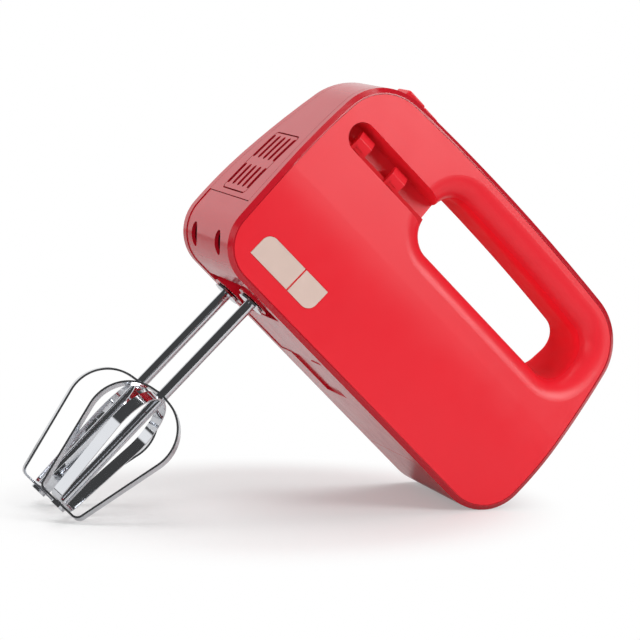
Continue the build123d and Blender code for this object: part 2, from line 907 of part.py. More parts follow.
def tooth_ring(turn):
    """Outline of a worm wheel whose first tooth points at the angle turn, in degrees."""
    points = []
    root_half = tooth_root_width / 2 / wheel_root
    tip_half = tooth_tip_width / 2 / wheel_tip
    for tooth in range(wheel_teeth):
        middle = math.radians(turn) + 2 * math.pi * tooth / wheel_teeth
        for radius, angle in (
            (wheel_root, middle - root_half),
            (wheel_tip, middle - tip_half),
            (wheel_tip, middle + tip_half),
            (wheel_root, middle + root_half),
        ):
            points.append((radius * math.cos(angle), radius * math.sin(angle)))
    return points


def worm_wheel(side, turn):
    """A worm wheel on one spindle: its teeth follow the worm's lead."""
    lead = worm_pitch / (2 * math.pi * worm_pitch_radius)
    twist = math.degrees(wheel_height / 2 * lead / wheel_pitch_radius)
    with BuildPart() as wheel:
        for half in (-1, 1):
            with BuildSketch(Plane((0, side * beater_y, worm_z + half * wheel_height / 2))):
                with BuildLine():
                    Polyline(*tooth_ring(turn + half * twist), close=True)
                make_face()
        loft(ruled=True)
        with Locations((0, side * beater_y, worm_z)):
            Cylinder(spindle_radius, 2 * wheel_height, mode=Mode.SUBTRACT)
    return wheel.part


tooth_step = 360.0 / wheel_teeth
right_worm_wheel = worm_wheel(1, -90.0 + tooth_step / 2)
right_worm_wheel.label = "right_worm_wheel"
left_worm_wheel = worm_wheel(-1, 90.0)
left_worm_wheel.label = "left_worm_wheel"


def spindle(side, angle):
    """A hollow spindle with a cross slot at its foot for the beater's drive lugs."""
    with BuildPart() as tube:
        with BuildSketch(Plane.XY.offset(spindle_low)):
            with Locations((0, side * beater_y)):
                Circle(spindle_radius)
                Circle(spindle_bore, mode=Mode.SUBTRACT)
        extrude(amount=spindle_high - spindle_low)
        with BuildSketch(Plane.XY.offset(spindle_low)):
            with Locations((0, side * beater_y)):
                Rectangle(4 * spindle_radius, key_slot_width, rotation=angle)
        extrude(amount=key_slot_high - spindle_low, mode=Mode.SUBTRACT)
    return tube.part


def eject_pin(side):
    """The headed pin inside a spindle that pushes its beater out."""
    with BuildPart() as pin:
        with BuildSketch(Plane.XY.offset(beater_shaft_high + pin_gap)):
            with Locations((0, side * beater_y)):
                Circle(beater_shaft_radius)
        extrude(amount=pin_head_low - beater_shaft_high - pin_gap)
        with BuildSketch(Plane.XY.offset(pin_head_low)):
            with Locations((0, side * beater_y)):
                Circle(pin_head_radius)
        extrude(amount=pin_head_high - pin_head_low)
    return pin.part


right_spindle = spindle(1, right_blade_angle)
right_spindle.label = "right_spindle"
left_spindle = spindle(-1, left_blade_angle)
left_spindle.label = "left_spindle"
right_eject_pin = eject_pin(1)
right_eject_pin.label = "right_eject_pin"
left_eject_pin = eject_pin(-1)
left_eject_pin.label = "left_eject_pin"


def beater_shaft(side, angle):
    """A beater's rod, with two drive lugs near its top and a spigot at its foot."""
    inner_floor = loop_bottom + inner_bottom_rise + strip_thickness
    with BuildPart() as rod:
        with BuildSketch(Plane.XY.offset(inner_floor)):
            with Locations((0, side * beater_y)):
                Circle(beater_shaft_radius)
        extrude(amount=beater_shaft_high - inner_floor)
        chamfer(rod.faces().sort_by(Axis.Z)[-1].edges(), beater_shaft_bevel)
        with BuildSketch(Plane.XY.offset(lug_low)):
            with Locations((0, side * beater_y)):
                Rectangle(lug_span, lug_width, rotation=angle)
        extrude(amount=lug_high - lug_low)
        with BuildSketch(Plane.XY.offset(loop_bottom)):
            with Locations((0, side * beater_y)):
                Circle(spigot_radius)
        extrude(amount=inner_floor - loop_bottom)
    return rod.part


def beater_disc(side, radius, bore, low_z, thickness):
    """A flat disc round a beater's axis, with a bore unless bore is zero."""
    with BuildPart() as disc:
        with BuildSketch(Plane.XY.offset(low_z)):
            with Locations((0, side * beater_y)):
                Circle(radius)
                if bore:
                    Circle(bore, mode=Mode.SUBTRACT)
        extrude(amount=thickness)
    return disc.part


def blade_loop(side, angle, top, bottom):
    """A closed loop of flat strip through the beater's axis, in the plane at the given angle."""
    turn = math.radians(angle)
    blade_plane = Plane(
        origin=(0, side * beater_y, 0),
        x_dir=(math.cos(turn), math.sin(turn), 0),
        z_dir=(math.sin(turn), -math.cos(turn), 0),
    )
    foot = loop_foot_radius + loop_taper * (bottom - loop_bottom)
    shoulder = (foot + loop_taper * (top - bottom)) / (1 + loop_taper * loop_slope)
    with BuildPart() as loop:
        with BuildSketch(blade_plane) as face:
            with BuildLine():
                Polyline(
                    (0, top),
                    (shoulder, top - loop_slope * shoulder),
                    (foot, bottom),
                    (-foot, bottom),
                    (-shoulder, top - loop_slope * shoulder),
                    close=True,
                )
            make_face()
            wide = face.vertices().sort_by(Axis.X)
            fillet([wide[0], wide[-1]], loop_shoulder_radius)
            fillet(face.vertices().filter_by_position(Axis.Y, bottom - 1, bottom + 1), loop_foot_corner)
            offset(amount=-strip_thickness, mode=Mode.SUBTRACT)
        extrude(amount=strip_width / 2, both=True)
        with BuildSketch(Plane.XY.offset(top - strip_width)):
            with Locations((0, side * beater_y)):
                Circle(beater_shaft_radius)
        extrude(amount=2 * strip_width, mode=Mode.SUBTRACT)
        with BuildSketch(Plane.XY.offset(bottom - strip_width)):
            with Locations((0, side * beater_y)):
                Circle(spigot_radius)
        extrude(amount=2 * strip_width, mode=Mode.SUBTRACT)
    return loop.part


inner_top = loop_top - inner_top_drop
inner_bottom = loop_bottom + inner_bottom_rise
hub_low = loop_bottom - hub_thickness
beaters = []
for side, side_name, angle in ((-1, "left", left_blade_angle), (1, "right", right_blade_angle)):
    rod = beater_shaft(side, angle)
    rod.label = side_name + "_beater_shaft"
    collar = beater_disc(side, collar_radius, beater_shaft_radius, collar_z, collar_thickness)
    collar.label = side_name + "_beater_collar"
    outer_loop = blade_loop(side, angle, loop_top, loop_bottom)
    outer_loop.label = side_name + "_outer_loop"
    inner_loop = blade_loop(side, angle + 90.0, inner_top, inner_bottom)
    inner_loop.label = side_name + "_inner_loop"
    hub = beater_disc(side, hub_radius, 0, hub_low, hub_thickness)
    hub.label = side_name + "_beater_hub"
    beaters += [rod, collar, outer_loop, inner_loop, hub]

# Motor
with BuildPart() as stator_core:
    with Locations(((core_front + core_rear) / 2, 0, worm_z)):
        Box(core_rear - core_front, 2 * core_half_width, 2 * core_half_height)
        Cylinder(core_bore, 2 * core_rear, rotation=(0, 90, 0), mode=Mode.SUBTRACT)
        bar_z = coil_half_height - coil_bar / 2
        with Locations(
            (0, coil_y, bar_z), (0, coil_y, -bar_z), (0, -coil_y, bar_z), (0, -coil_y, -bar_z)
        ):
            Box(2 * core_rear, coil_width + 2 * coil_gap, coil_bar + 2 * coil_gap, mode=Mode.SUBTRACT)
stator_core.part.label = "stator_core"


def field_coil(side):
    """One field winding: a closed rectangular bundle threaded through the stator core."""
    with BuildPart() as bundle:
        with BuildSketch(Plane.XZ.offset(-side * coil_y)):
            with Locations(((coil_front + coil_rear) / 2, worm_z)):
                RectangleRounded(coil_rear - coil_front, 2 * coil_half_height, 4.0)
                Rectangle(
                    coil_rear - coil_front - 2 * coil_end,
                    2 * (coil_half_height - coil_bar),
                    mode=Mode.SUBTRACT,
                )
        extrude(amount=coil_width / 2, both=True)
    return bundle.part


left_field_coil = field_coil(-1)
left_field_coil.label = "left_field_coil"
right_field_coil = field_coil(1)
right_field_coil.label = "right_field_coil"

with BuildPart() as armature_core:
    with BuildSketch(Plane.YZ.offset(core_front)):
        with Locations((0, worm_z)):
            Circle(armature_radius)
            with PolarLocations(armature_radius, armature_slots):
                Rectangle(2 * armature_slot_depth, armature_slot_width, mode=Mode.SUBTRACT)
            Circle(motor_shaft_radius, mode=Mode.SUBTRACT)
    extrude(amount=core_rear - core_front)
armature_core.part.label = "armature_core"

with BuildPart() as commutator:
    with BuildSketch(Plane.YZ.offset(commutator_front)):
        with Locations((0, worm_z)):
            Circle(commutator_radius)
            Circle(motor_shaft_radius, mode=Mode.SUBTRACT)
    extrude(amount=commutator_rear - commutator_front)
commutator.part.label = "commutator"

with BuildPart() as cooling_fan:
    with BuildSketch(Plane.YZ.offset(fan_front)):
        with Locations((0, worm_z)):
            Circle(fan_radius)
    extrude(amount=fan_disc)
    with BuildSketch(Plane.YZ.offset(fan_front)):
        with Locations((0, worm_z)):
            Circle(fan_hub_radius)
            with PolarLocations((fan_radius + motor_shaft_radius) / 2, fan_blades):
                Rectangle(fan_radius - motor_shaft_radius - fan_disc, fan_blade_thickness)
    extrude(amount=fan_rear - fan_front)
    with BuildSketch(Plane.YZ.offset(fan_front)):
        with Locations((0, worm_z)):
            Circle(motor_shaft_radius)
    extrude(amount=fan_rear - fan_front, mode=Mode.SUBTRACT)
cooling_fan.part.label = "cooling_fan"

post_y = core_half_width - bracket_post / 2
post_z = core_half_height - bracket_post / 2
with BuildPart() as motor_bracket:
    with BuildSketch(Plane.YZ.offset(bracket_front)):
        with Locations((0, worm_z)):
            Rectangle(2 * core_half_width, 2 * core_half_height)
            Circle(shaft_bush_radius, mode=Mode.SUBTRACT)
    extrude(amount=bracket_rear - bracket_front)
    with BuildSketch(Plane.YZ.offset(core_rear)):
        with Locations((0, worm_z)):
            with GridLocations(2 * post_y, 2 * post_z, 2, 2):
                Rectangle(bracket_post, bracket_post)
    extrude(amount=bracket_front - core_rear)
motor_bracket.part.label = "motor_bracket"


def brush(side):
    """A carbon block that bears on the commutator."""
    with BuildPart() as block:
        with Locations((brush_front + brush_size / 2, side * (brush_low_y + brush_length / 2), worm_z)):
            Box(brush_size, brush_length, brush_size)
    return block.part


def brush_holder(side):
    """A square tube round one brush, with a foot that reaches back to the motor bracket."""
    tube_size = brush_size + 2 * (holder_wall + 2 * running_gap)
    tube_middle = side * (holder_low_y + holder_high_y) / 2
    tube_length = holder_high_y - holder_low_y
    tube_x = brush_front + brush_size / 2
    foot_length = bracket_front - tube_x
    with BuildPart() as holder:
        with Locations((tube_x, tube_middle, worm_z)):
            Box(tube_size, tube_length, tube_size)
        with Locations((tube_x + foot_length / 2, side * (holder_high_y - tube_size / 2), worm_z)):
            Box(foot_length, tube_size, tube_size)
        with Locations((tube_x, tube_middle, worm_z)):
            Box(
                brush_size + 4 * running_gap,
                2 * tube_length,
                brush_size + 4 * running_gap,
                mode=Mode.SUBTRACT,
            )
    return holder.part


left_brush = brush(-1)
left_brush.label = "left_brush"
right_brush = brush(1)
right_brush.label = "right_brush"
left_brush_holder = brush_holder(-1)
left_brush_holder.label = "left_brush_holder"
right_brush_holder = brush_holder(1)
right_brush_holder.label = "right_brush_holder"

with BuildPart() as terminal_block:
    with BuildSketch(Plane.YZ.offset(bracket_rear)):
        with Locations((0, (terminal_low + terminal_high) / 2)):
            Rectangle(2 * terminal_half_width, terminal_high - terminal_low)
            with Locations((-terminal_half_width / 2, 0), (terminal_half_width / 2, 0)):
                Circle(terminal_bore, mode=Mode.SUBTRACT)
    extrude(amount=terminal_rear - bracket_rear)
terminal_block.part.label = "terminal_block"

with BuildPart() as cord_gland:
    with BuildSketch(Plane.YZ.offset(gland_front)):
        with Locations((0, gland_z)):
            Circle(gland_radius)
    extrude(amount=gland_rear - gland_front)
    with BuildSketch(Plane.YZ.offset(gland_flange_front)):
        with Locations((0, gland_z)):
            Circle(gland_flange_radius)
    extrude(amount=gland_flange_rear - gland_flange_front)
    with BuildSketch(Plane.YZ.offset(gland_front)):
        with Locations((0, gland_z)):
            Circle(gland_bore)
    extrude(amount=gland_rear - gland_front, mode=Mode.SUBTRACT)
cord_gland.part.label = "cord_gland"

# Resting pose: the mixer leans until its heel and its lowest beater tip touch the same level
heel_arcs = side_outline(0).edges().filter_by(GeomType.CIRCLE)
heel_arc = [arc for arc in heel_arcs if abs(arc.radius - heel_radius) < 0.01][0]
heel_middle = heel_arc.arc_center
run = heel_middle.X
rise = heel_middle.Z - loop_bottom
tilt = math.degrees(math.atan2(rise, run) - math.asin(heel_radius / math.hypot(run, rise)))
for step in range(lean_steps):
    leaning = Rotation(0, tilt, 0)
    lean = math.radians(tilt)
    heel_low = heel_middle.Z * math.cos(lean) - heel_middle.X * math.sin(lean) - heel_radius
    tip_low = Compound([leaning * piece for piece in beaters]).bounding_box(optimal=True).min.Z
    tilt -= math.degrees((tip_low - heel_low) / math.hypot(run, rise))

built = [
    left_shell, right_shell, left_edge_ring, right_edge_ring, shell_screws, left_label_plate,
    right_label_plate, front_cover, vent_grille, nose_cover, belly_cover, heel_cover, handle_cover,
    top_bezel, handle_liner,
    eject_button, eject_plate, eject_guide, eject_spring, speed_slider, switch_body,
    gearbox_frame, motor_shaft, stator_core, armature_core, commutator, cooling_fan,
    motor_bracket, terminal_block, cord_gland,
]
pieces = [block.part for block in built] + beaters
pieces += [front_shaft_bush, middle_shaft_bush, rear_shaft_bush]
pieces += [left_lower_bush, left_upper_bush, right_lower_bush, right_upper_bush]
pieces += [left_worm_wheel, right_worm_wheel, left_spindle, right_spindle]
pieces += [left_eject_pin, right_eject_pin, left_field_coil, right_field_coil]
pieces += [left_brush, right_brush, left_brush_holder, right_brush_holder]

tilting = Rotation(0, tilt, 0)
box = Compound([tilting * piece for piece in pieces]).bounding_box(optimal=True)
resting = Pos(-box.center().X, -box.center().Y, -box.min.Z) * tilting
print("tilt", tilt, "moved by", resting.position, "size", box.size)
for piece in pieces:
    placed = resting * piece
    placed.label = piece.label
    export_step(placed, "parts/" + piece.label + ".step")
    print(piece.label, len(placed.solids()), round(placed.volume, 1), placed.is_valid)
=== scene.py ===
# %% [markdown]
# An electric hand mixer rests on its heel and on the tips of its two beaters. The casing is two
# satin red side shells with a glossy red band between them, and the beaters are chromed steel strip.
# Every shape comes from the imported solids, so this script dresses them: it sets the camera, makes one
# finish for each real material, and lights the mixer the way a small product studio would.

# %% Load the solids
import json
import math

import bpy
from mathutils import Matrix, Vector


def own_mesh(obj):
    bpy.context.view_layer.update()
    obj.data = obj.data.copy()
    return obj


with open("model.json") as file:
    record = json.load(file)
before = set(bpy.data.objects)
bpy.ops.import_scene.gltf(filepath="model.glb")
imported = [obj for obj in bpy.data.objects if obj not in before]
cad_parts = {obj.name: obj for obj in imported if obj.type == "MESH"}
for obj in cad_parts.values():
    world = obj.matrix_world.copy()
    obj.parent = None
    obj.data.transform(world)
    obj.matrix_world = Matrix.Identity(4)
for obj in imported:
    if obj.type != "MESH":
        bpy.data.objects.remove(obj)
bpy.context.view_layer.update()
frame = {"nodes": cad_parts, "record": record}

# %% [markdown]
# The photograph was taken from the mixer's left, a little ahead of it and a little above the table.
# A long lens on a far camera keeps the edges nearly parallel, as a product photographer does.
# The angles turn the camera in order: round the vertical, down to the table, and a slight roll.

# %% Camera
LENS = 168.75  # mm, on a sensor 36 mm wide
SENSOR = 36.0
CAMERA_PLACE = Vector((-0.4644, -1.3676, 0.2825))
CAMERA_TURN = math.radians(-18.70)
CAMERA_DIP = math.radians(7.62)
CAMERA_ROLL = math.radians(1.20)

camera_data = bpy.data.cameras.new("studio_camera")
camera_data.lens = LENS
camera_data.sensor_width = SENSOR
camera_data.clip_end = 50.0
camera = bpy.data.objects.new("studio_camera", camera_data)
bpy.context.scene.collection.objects.link(camera)
level = Matrix.Rotation(math.radians(90.0) - CAMERA_DIP, 4, "X")
turn = Matrix.Rotation(CAMERA_TURN, 4, "Z")
roll = Matrix.Rotation(CAMERA_ROLL, 4, "Z")
camera.matrix_world = Matrix.Translation(CAMERA_PLACE) @ turn @ level @ roll
bpy.context.scene.camera = camera
print("camera at", tuple(round(v, 3) for v in CAMERA_PLACE), "lens", LENS, "mm")

# %% [markdown]
# Colours are picked as sRGB hex values, as in any paint program, but shaders work in linear light.
# One function makes that change. A second one adds any node to a material: it sets the node's
# options and fills each input with a plain value or with a link from another node's output.

# %% Colour and node helpers
MM = 0.001  # metres in a millimetre


def linear(hex_colour, alpha=1.0):
    """Each channel v of #RRGGBB becomes ((v + 0.055) / 1.055) ** 2.4, or v / 12.92 when it is dark."""
    channels = [int(hex_colour[i : i + 2], 16) / 255 for i in (1, 3, 5)]
    bright = [((v + 0.055) / 1.055) ** 2.4 if v > 0.04045 else v / 12.92 for v in channels]
    return (*bright, alpha)


def add_node(tree, kind, inputs=None, **options):
    """Adds one node. inputs maps a socket's name or number to a value or to an output socket."""
    node = tree.nodes.new(kind)
    for option, value in options.items():
        setattr(node, option, value)
    for socket, value in (inputs or {}).items():
        if isinstance(value, bpy.types.NodeSocket):
            tree.links.new(value, node.inputs[socket])
        else:
            node.inputs[socket].default_value = value
    return node


def new_finish(name, **constants):
    """A material with one Principled shader whose constant sockets are set directly."""
    material = bpy.data.materials.new(name)
    material.use_nodes = True
    tree = material.node_tree
    tree.nodes.clear()
    shader = add_node(tree, "ShaderNodeBsdfPrincipled")
    for socket, value in constants.items():
        shader.inputs[socket.replace("_", " ")].default_value = value
    add_node(tree, "ShaderNodeOutputMaterial", {"Surface": shader.outputs["BSDF"]})
    return material, tree, shader


def per_metre(size_mm):
    """A pattern whose features are size_mm across has 1000 / size_mm of them in a metre."""
    return 1.0 / (size_mm * MM)


print("white is", linear("#FFFFFF"))

# %% [markdown]
# A moulded surface is never quite even: the colour drifts a little and the gloss changes in patches.
# A grain gives the fine texture of the steel mould. The same three patterns suit every plastic and
# metal here, so each has its own function, with sizes in millimetres for each finish.

# %% Surface patterns


def add_colour_drift(tree, shader, first, second, size_mm):
    """Base colour wanders between two close colours in soft patches size_mm across."""
    place = add_node(tree, "ShaderNodeTexCoord").outputs["Object"]
    patches = add_node(
        tree,
        "ShaderNodeTexNoise",
        {"Vector": place, "Scale": per_metre(size_mm), "Detail": 2.0},
    )
    blend = add_node(
        tree,
        "ShaderNodeMix",
        {0: patches.outputs["Fac"], 6: linear(first), 7: linear(second)},
        data_type="RGBA",
    )
    tree.links.new(blend.outputs[2], shader.inputs["Base Color"])


def add_gloss_drift(tree, shader, low, high, size_mm):
    """Roughness wanders from low to high in patches size_mm across."""
    place = add_node(tree, "ShaderNodeTexCoord").outputs["Object"]
    patches = add_node(
        tree,
        "ShaderNodeTexNoise",
        {"Vector": place, "Scale": per_metre(size_mm), "Detail": 4.0},
    )
    spread = add_node(
        tree,
        "ShaderNodeMapRange",
        {"Value": patches.outputs["Fac"], "From Min": 0.3, "From Max": 0.7, "To Min": low, "To Max": high},
    )
    tree.links.new(spread.outputs["Result"], shader.inputs["Roughness"])


def add_grain(tree, shader, size_mm, depth_mm, stretch=(1.0, 1.0, 1.0), turn_y=0.0, strength=1.0):
    """Bumps size_mm across and depth_mm deep, drawn out along an axis where stretch is below 1."""
    place = add_node(tree, "ShaderNodeTexCoord").outputs["Object"]
    laid = add_node(
        tree,
        "ShaderNodeMapping",
        {"Vector": place, "Rotation": (0.0, turn_y, 0.0), "Scale": stretch},
    )
    bumps = add_node(
        tree,
        "ShaderNodeTexNoise",
        {"Vector": laid.outputs["Vector"], "Scale": per_metre(size_mm), "Detail": 3.0},
    )
    bump = add_node(
        tree,
        "ShaderNodeBump",
        {"Height": bumps.outputs["Fac"], "Distance": depth_mm * MM, "Strength": strength},
    )
    tree.links.new(bump.outputs["Normal"], shader.inputs["Normal"])


print("patterns: colour drift, gloss drift, grain")

# %% [markdown]
# The side shells are ABS moulded in a mould with a fine spark-eroded texture. To the eye that is a
# strong even red with a broad soft highlight and no sharp reflections. The texture is about 0.2 mm on
# the real part. It is drawn 0.8 mm across here, because anything finer vanishes at this picture size.

# %% Satin red ABS, textured moulding
satin_red, tree, shader = new_finish("satin_red_abs", IOR=1.45)
add_colour_drift(tree, shader, "#EA2330", "#E21F2D", 45.0)
add_gloss_drift(tree, shader, 0.30, 0.36, 12.0)
add_grain(tree, shader, 0.8, 0.012, strength=0.35)
print("made", satin_red.name)

# %% [markdown]
# Fingers hold the ring round the opening, so its mould is blasted to a dead matt. It keeps nearly the
# same red and hardly mirrors the pale table, even where it is seen at a shallow angle.

# %% Matt red ABS, blasted moulding
matt_red, tree, shader = new_finish("matt_red_abs", IOR=1.45, Specular_IOR_Level=0.05)
add_colour_drift(tree, shader, "#F0222F", "#E81F2C", 45.0)
add_gloss_drift(tree, shader, 0.60, 0.70, 8.0)
add_grain(tree, shader, 0.8, 0.02, strength=0.4)
print("made", matt_red.name)

# %% [markdown]
# The band between the shells is the same ABS from a polished mould. It mirrors the pale studio at a
# shallow angle, which lifts the red towards pink. A faint ripple a few millimetres long bends those
# reflections, as the skin of a real glossy moulding does.

# %% Gloss red ABS, polished moulding
gloss_red, tree, shader = new_finish("gloss_red_abs", IOR=1.50)
add_colour_drift(tree, shader, "#BC1525", "#B21221", 40.0)
add_gloss_drift(tree, shader, 0.12, 0.20, 9.0)
add_grain(tree, shader, 7.0, 0.02, strength=0.15)
print("made", gloss_red.name)

# %% [markdown]
# The plate let into each side is thin aluminium, brushed along its length and lacquered a warm
# champagne. The lacquer keeps it pale from every side, with a metal sheen under it. Brushing leaves
# long shallow scratches, so the grain is stretched fifty times along the plate.

# %% Champagne lacquered aluminium, brushed
TILT = math.radians(44.81)  # how far the mixer leans forward from level
champagne, tree, shader = new_finish("champagne_lacquered_aluminium", Metallic=0.3)
add_colour_drift(tree, shader, "#F0D6CA", "#E8CDC1", 20.0)
add_gloss_drift(tree, shader, 0.34, 0.44, 5.0)
add_grain(tree, shader, 0.6, 0.01, stretch=(0.02, 1.0, 1.0), turn_y=TILT, strength=0.25)
print("made", champagne.name)

# %% [markdown]
# The beaters are steel strip, bent, spot-welded and then chrome plated over nickel. Chrome reflects
# nearly everything with a slightly blue cast, so it shows the studio and the red casing rather than a
# colour of its own. Handling leaves it only a little hazy.

# %% Bright chrome plate on steel
chrome, tree, shader = new_finish("bright_chrome_plate", Metallic=1.0)
add_colour_drift(tree, shader, "#E4E6EA", "#DADDE2", 15.0)
add_gloss_drift(tree, shader, 0.05, 0.11, 4.0)
add_grain(tree, shader, 5.0, 0.01, strength=0.2)
print("made", chrome.name)

# %% [markdown]
# The screws and shafts inside are steel: screws with a pale zinc plating, shafts ground bright.
# Laminated cores are stamped from dark silicon steel sheet 0.5 mm thick, and the stack of edges shows
# as fine lines along the motor. The lines are drawn 1.5 mm apart so that they show.

# %% Zinc-plated steel and laminated core steel
zinc_steel, tree, shader = new_finish("zinc_plated_steel", Metallic=1.0)
add_colour_drift(tree, shader, "#C9CACB", "#B4B6B8", 3.0)
add_gloss_drift(tree, shader, 0.24, 0.36, 2.0)
add_grain(tree, shader, 0.8, 0.01, strength=0.2)

core_steel, tree, shader = new_finish("laminated_silicon_steel", Metallic=1.0)
add_colour_drift(tree, shader, "#6F7073", "#5B5C60", 8.0)
add_gloss_drift(tree, shader, 0.42, 0.58, 4.0)
add_grain(tree, shader, 1.5, 0.06, stretch=(1.0, 0.02, 0.02), turn_y=TILT, strength=0.7)
print("made", zinc_steel.name, core_steel.name)

# %% [markdown]
# The gearbox frame and the brush bracket are black glass-filled nylon, dull with a slightly fibrous
# skin. The worm wheels are natural nylon, the colour of old ivory and a little waxy, so some light
# goes into them and comes back out.

# %% Glass-filled nylon and natural nylon
black_nylon, tree, shader = new_finish("black_glass_filled_nylon", IOR=1.53)
add_colour_drift(tree, shader, "#26272A", "#1E1F22", 10.0)
add_gloss_drift(tree, shader, 0.50, 0.64, 3.0)
add_grain(tree, shader, 0.9, 0.03, strength=0.5)

natural_nylon, tree, shader = new_finish(
    "natural_nylon", IOR=1.53, Subsurface_Weight=0.2, Subsurface_Scale=1.5 * MM
)
add_colour_drift(tree, shader, "#E9E2D0", "#DFD7C2", 8.0)
add_gloss_drift(tree, shader, 0.36, 0.46, 4.0)
add_grain(tree, shader, 1.2, 0.01, strength=0.2)
print("made", black_nylon.name, natural_nylon.name)

# %% [markdown]
# Field coils and armature windings are enamelled copper wire, so the copper shows through a clear
# varnish. The bearings are sintered bronze, porous and dull with oil. The brushes are pressed carbon,
# nearly black with a greasy graphite sheen, and the cord gland is soft black rubber.

# %% Copper, bronze, carbon and rubber
copper, tree, shader = new_finish(
    "enamelled_copper_wire", Metallic=1.0, Coat_Weight=0.6, Coat_Roughness=0.1
)
add_colour_drift(tree, shader, "#B8683A", "#9E532B", 5.0)
add_gloss_drift(tree, shader, 0.26, 0.38, 3.0)
add_grain(tree, shader, 0.9, 0.08, stretch=(0.05, 1.0, 1.0), turn_y=TILT, strength=0.8)

bronze, tree, shader = new_finish("sintered_bronze", Metallic=1.0)
add_colour_drift(tree, shader, "#B58A4C", "#9C7439", 3.0)
add_gloss_drift(tree, shader, 0.44, 0.60, 1.5)
add_grain(tree, shader, 0.7, 0.03, strength=0.5)

carbon, tree, shader = new_finish("pressed_carbon", IOR=1.7)
add_colour_drift(tree, shader, "#2B2B2D", "#202022", 2.0)
add_gloss_drift(tree, shader, 0.34, 0.48, 1.5)
add_grain(tree, shader, 0.6, 0.02, strength=0.4)

rubber, tree, shader = new_finish("black_gland_rubber", IOR=1.52)
add_colour_drift(tree, shader, "#1C1C1D", "#262627", 6.0)
add_gloss_drift(tree, shader, 0.58, 0.72, 3.0)
add_grain(tree, shader, 0.9, 0.02, strength=0.4)
print("made", copper.name, bronze.name, carbon.name, rubber.name)

# %% [markdown]
# Each solid already carries the name of its material slot in the record, so the finish follows the
# slot. That keeps one red for all the pieces moulded in that red, however many there are. The one
# exception is the liner of the finger opening, which gets the matt red.

# %% Give every solid its finish
FINISH_OF_SLOT = {
    "red_satin": satin_red,
    "red_gloss": gloss_red,
    "label_metal": champagne,
    "screw_steel": zinc_steel,
    "chrome": chrome,
    "frame_plastic": black_nylon,
    "nylon": natural_nylon,
    "core_steel": core_steel,
    "copper": copper,
    "bronze": bronze,
    "carbon": carbon,
    "gland_rubber": rubber,
}
slot_of_node = {row["node"]: row["material_slot"] for row in frame["record"]["subparts"]}
finish_of_node = {name: FINISH_OF_SLOT[slot] for name, slot in slot_of_node.items()}
finish_of_node["handle_liner"] = matt_red
for name, solid in frame["nodes"].items():
    for slot in solid.material_slots:
        slot.material = finish_of_node[name]
print("finished solids:", len(slot_of_node))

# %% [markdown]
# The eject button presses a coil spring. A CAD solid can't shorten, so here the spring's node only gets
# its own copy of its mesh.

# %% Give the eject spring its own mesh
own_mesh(frame["nodes"]["eject_spring"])

# %% [markdown]
# The mixer stands on a plain pale board that catches its soft shadow. In an oval round the mixer the
# board shows as it is. Past the oval's rim, rays from the camera see it fade to painted white, so the
# board has no visible edge and the background is white without any more light on the mixer. That painted
# white also covers the board's real shadow past the rim, so the shadow shows only inside the oval, whose
# middle sits a little off the mixer's middle. The board ends a little ahead of the mixer, out of the
# picture, which leaves the camera's side of the studio dark.

# %% Floor
BOARD_LEFT, BOARD_RIGHT = -1.6, 1.6
BOARD_FRONT, BOARD_BACK = -0.42, 1.8
# The oval's middle and reach set where the board's real shadow stays visible; beyond it the shadow is
# painted over with white.
FADE_MIDDLE = (-0.03, -0.01, 0.0)
FADE_REACH = (0.15, 0.14, 1.0)
FADE_START = 0.6  # of the reach
BOARD_LIFT = 0.24

floor_mesh = bpy.data.meshes.new("white_board")
floor_corners = [
    (BOARD_LEFT, BOARD_FRONT, 0.0),
    (BOARD_RIGHT, BOARD_FRONT, 0.0),
    (BOARD_RIGHT, BOARD_BACK, 0.0),
    (BOARD_LEFT, BOARD_BACK, 0.0),
]
floor_mesh.from_pydata(floor_corners, [], [(0, 1, 2, 3)])
floor = bpy.data.objects.new("white_board", floor_mesh)
bpy.context.scene.collection.objects.link(floor)

board, tree, shader = new_finish("white_card", Roughness=0.9)
add_colour_drift(tree, shader, "#D0D0D0", "#CCCCCC", 200.0)
path = add_node(tree, "ShaderNodeLightPath")
lift = add_node(
    tree, "ShaderNodeMath", {0: path.outputs["Is Camera Ray"], 1: BOARD_LIFT}, operation="MULTIPLY"
)
shader.inputs["Emission Color"].default_value = linear("#FFFFFF")
tree.links.new(lift.outputs["Value"], shader.inputs["Emission Strength"])
place = add_node(tree, "ShaderNodeTexCoord").outputs["Object"]
offset = add_node(tree, "ShaderNodeVectorMath", {0: place, 1: FADE_MIDDLE}, operation="SUBTRACT")
share = add_node(
    tree, "ShaderNodeVectorMath", {0: offset.outputs["Vector"], 1: FADE_REACH}, operation="DIVIDE"
)
distance = add_node(tree, "ShaderNodeVectorMath", {0: share.outputs["Vector"]}, operation="LENGTH")
# Past the oval's rim, camera rays get painted white, which hides the board's real shadow there.
fade = add_node(
    tree,
    "ShaderNodeMapRange",
    {"Value": distance.outputs["Value"], "From Min": FADE_START, "From Max": 1.0},
    interpolation_type="SMOOTHSTEP",
)
faded = add_node(
    tree,
    "ShaderNodeMath",
    {0: fade.outputs["Result"], 1: path.outputs["Is Camera Ray"]},
    operation="MULTIPLY",
)
white = add_node(tree, "ShaderNodeEmission", {"Color": linear("#FFFFFF"), "Strength": 1.0})
blend = add_node(
    tree, "ShaderNodeMixShader", {0: faded.outputs["Value"], 1: shader.outputs[0], 2: white.outputs[0]}
)
board_output = next(node for node in tree.nodes if node.type == "OUTPUT_MATERIAL")
tree.links.new(blend.outputs[0], board_output.inputs["Surface"])
floor_mesh.materials.append(board)
print("board", BOARD_RIGHT - BOARD_LEFT, "by", round(BOARD_BACK - BOARD_FRONT, 2), "m")

# %% [markdown]
# A white tent all round would flatten the chrome. Here the surround is white in one broad patch behind
# the mixer, with a small white card to its left, and near black everywhere else. So a polished rod
# shows a dark core between bright edges, the nearest blade catches the card, and the glossy band, seen
# at a shallow angle, mirrors the white behind. Rays from the camera see plain white, glossy rays see the
# graded surround, and everything else gets an even soft fill.

